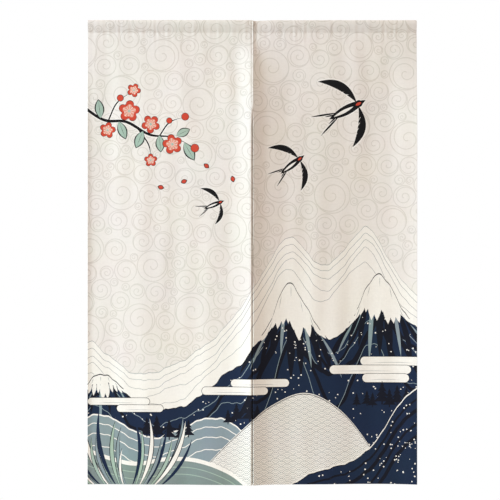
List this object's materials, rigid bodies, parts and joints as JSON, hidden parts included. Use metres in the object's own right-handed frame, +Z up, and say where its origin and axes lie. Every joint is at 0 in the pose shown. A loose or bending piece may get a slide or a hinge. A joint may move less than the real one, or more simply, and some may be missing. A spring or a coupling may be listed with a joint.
{
  "type": "noren doorway curtain",
  "caption": "Japanese-style split doorway curtain: two printed cloth panels sewn together at the top, a rod pocket along the top edge and a slit open to the hem.",
  "frame": {"origin": "middle of the curtain's top edge, on the rod pocket's centre plane", "axes": "+X along the rod to the right as seen from the front, +Y from front to back, +Z up"},
  "size_m": [0.85, 0.0407, 1.2],
  "materials": {
    "cloth": "matt printed linen-look polyester",
    "thread": "fine matt sewing thread"
  },
  "bodies": {
    "root": {"panel_left": "cloth", "panel_right": "cloth", "pocket_left": "cloth", "pocket_right": "cloth"}
  },
  "joints": []
}
